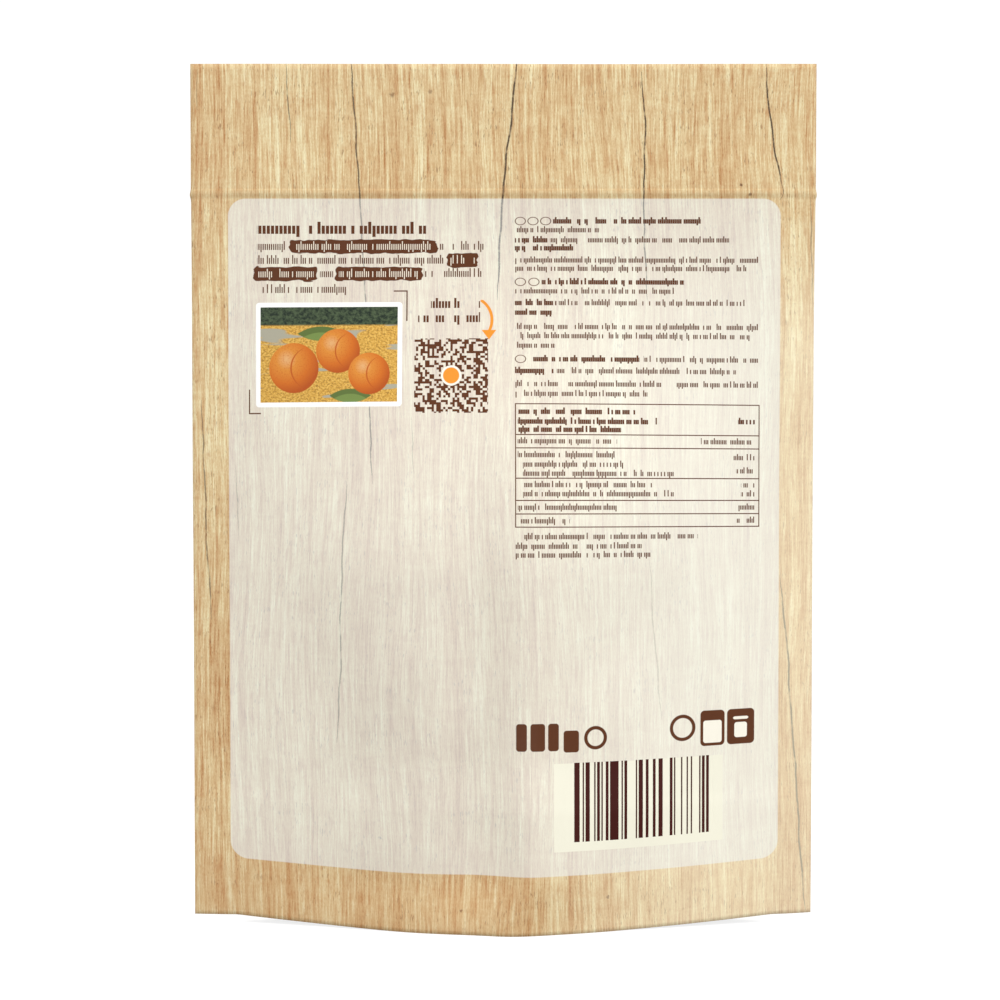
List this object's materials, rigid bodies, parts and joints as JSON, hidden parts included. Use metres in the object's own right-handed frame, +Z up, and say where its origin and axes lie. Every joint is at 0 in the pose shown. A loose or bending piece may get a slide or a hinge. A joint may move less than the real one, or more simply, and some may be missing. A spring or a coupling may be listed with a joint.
{
  "type": "stand-up pouch",
  "caption": "Sealed stand-up pouch of wood-print film with a plain cream label field, a press-to-close zip and a folded base gusset, filled with dried apricots.",
  "frame": {"origin": "on the ground under the middle of the pouch", "axes": "+Z up the pouch to its header, +Y through its thickness, away from the panel with the label, +X across its width, to the right of someone who reads the label"},
  "size_m": [0.1478, 0.049, 0.2023],
  "materials": {
    "label_film": "satin",
    "oak_film": "satin",
    "zip_plastic": "gloss",
    "fruit": "matte"
  },
  "bodies": {
    "root": {"back_panel": "label_film", "front_panel": "oak_film", "bottom_gusset": "oak_film", "zip_groove_strip": "zip_plastic", "zip_ridge_strip": "zip_plastic", "dried_apricot_01": "fruit", "dried_apricot_02": "fruit", "dried_apricot_03": "fruit", "dried_apricot_04": "fruit", "dried_apricot_05": "fruit", "dried_apricot_06": "fruit", "dried_apricot_07": "fruit", "dried_apricot_08": "fruit", "dried_apricot_09": "fruit", "dried_apricot_10": "fruit", "dried_apricot_11": "fruit", "dried_apricot_12": "fruit", "dried_apricot_13": "fruit", "dried_apricot_14": "fruit", "dried_apricot_15": "fruit"}
  },
  "joints": []
}
